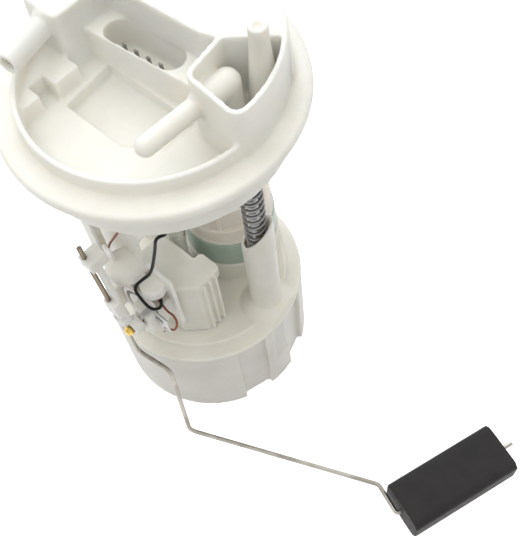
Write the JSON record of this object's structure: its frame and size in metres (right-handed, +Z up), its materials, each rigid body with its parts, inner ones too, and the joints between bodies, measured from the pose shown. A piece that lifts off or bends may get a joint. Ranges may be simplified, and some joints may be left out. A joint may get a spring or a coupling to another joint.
{
  "type": "fuel pump module",
  "caption": "In-tank fuel pump module: round cover with fuel nipples and socket on two sprung guide rods over a round pot that holds the pump, with a level sender, bent arm and float.",
  "frame": {"origin": "centre of the reservoir pot's underside", "axes": "+Z up through the cover, +X along the connector towards the vent's side, -Y towards the level sender and the fuel nipples"},
  "size_m": [0.2439, 0.124, 0.239],
  "materials": {
    "pot_plastic": "translucent natural acetal, fine satin",
    "lid_plastic": "natural acetal, satin",
    "cover_plastic": "ivory acetal, satin",
    "cap_plastic": "cream moulded nylon, satin",
    "plug_plastic": "natural nylon",
    "dark_resin": "phenolic resin, moulded",
    "black_rubber": "matte",
    "green_rubber": "grey-green, matte",
    "black_lead": "smooth insulation",
    "red_lead": "smooth red-brown insulation",
    "clear_hose": "milky nylon hose",
    "float_foam": "closed-cell nitrile, fine skin",
    "strainer_mesh": "woven nylon mesh",
    "spring_steel": "dark oiled wire",
    "arm_steel": "drawn wire",
    "bright_steel": "drawn and plated",
    "plated_can": "zinc plated",
    "cast_aluminium": "die cast and machined",
    "tinned_pins": "tinned",
    "brass": "turned",
    "copper": "drawn, bright",
    "carbon": "pressed carbon",
    "magnet_ferrite": "sintered and ground",
    "ceramic": "white alumina card"
  },
  "bodies": {
    "reservoir": {"reservoir_pot": "pot_plastic", "foot_valve": "black_rubber", "reservoir_lid": "lid_plastic", "spring_left": "spring_steel", "spring_right": "spring_steel", "pump_can": "plated_can", "magnet_left": "magnet_ferrite", "magnet_right": "magnet_ferrite", "inlet_cover": "cast_aluminium", "pump_housing": "cast_aluminium", "brush_left": "carbon", "brush_right": "carbon", "brush_holder": "cap_plastic", "pump_cap": "cap_plastic", "outlet_pipe": "cap_plastic", "isolator_band": "green_rubber", "pump_terminals": "bright_steel", "inlet_strainer": "strainer_mesh", "pressure_regulator": "plated_can", "supply_hose": "clear_hose", "hose_clamp_lower": "bright_steel", "sender_bracket": "lid_plastic", "sender_housing": "cover_plastic", "sender_card": "ceramic", "card_terminals": "bright_steel", "pivot_pin": "brass", "lead_black": "black_lead", "lead_red": "red_lead"},
    "pump_rotor": {"impeller": "dark_resin", "pump_shaft": "bright_steel", "armature": "magnet_ferrite", "commutator": "copper"},
    "float_arm": {"arm_wire": "arm_steel", "arm_holder": "cover_plastic", "wiper": "bright_steel"},
    "float": {"float_block": "float_foam"},
    "flange": {"flange_cover": "cover_plastic", "guide_rod_left": "bright_steel", "guide_rod_right": "bright_steel", "rod_clip_left": "spring_steel", "rod_clip_right": "spring_steel", "connector_pins": "tinned_pins", "lead_plug": "plug_plastic", "hose_clamp_upper": "bright_steel"}
  },
  "joints": [
    {"name": "flange_slide", "type": "slide", "parent": "reservoir", "child": "flange", "axis": [0, 0, 1], "range_m": [-0.027, 0], "stiffness_N_per_m": 500, "springref_m": 0.04, "deforming": ["spring_left", "spring_right", "supply_hose", "lead_black", "lead_red"]},
    {"name": "arm_swing", "type": "hinge", "parent": "reservoir", "child": "float_arm", "pos_m": [0.0126, -0.052, 0.092], "axis": [0, -1, 0], "range_deg": [0, 60]},
    {"name": "float_turn", "type": "hinge", "parent": "float_arm", "child": "float", "pos_m": [0.1502, -0.0236, 0.017], "axis": [0.3102, 0.9507, 0], "continuous": true},
    {"name": "rotor_spin", "type": "hinge", "parent": "reservoir", "child": "pump_rotor", "pos_m": [0.001, 0.024, 0.05], "axis": [0, 0, 1], "continuous": true}
  ]
}
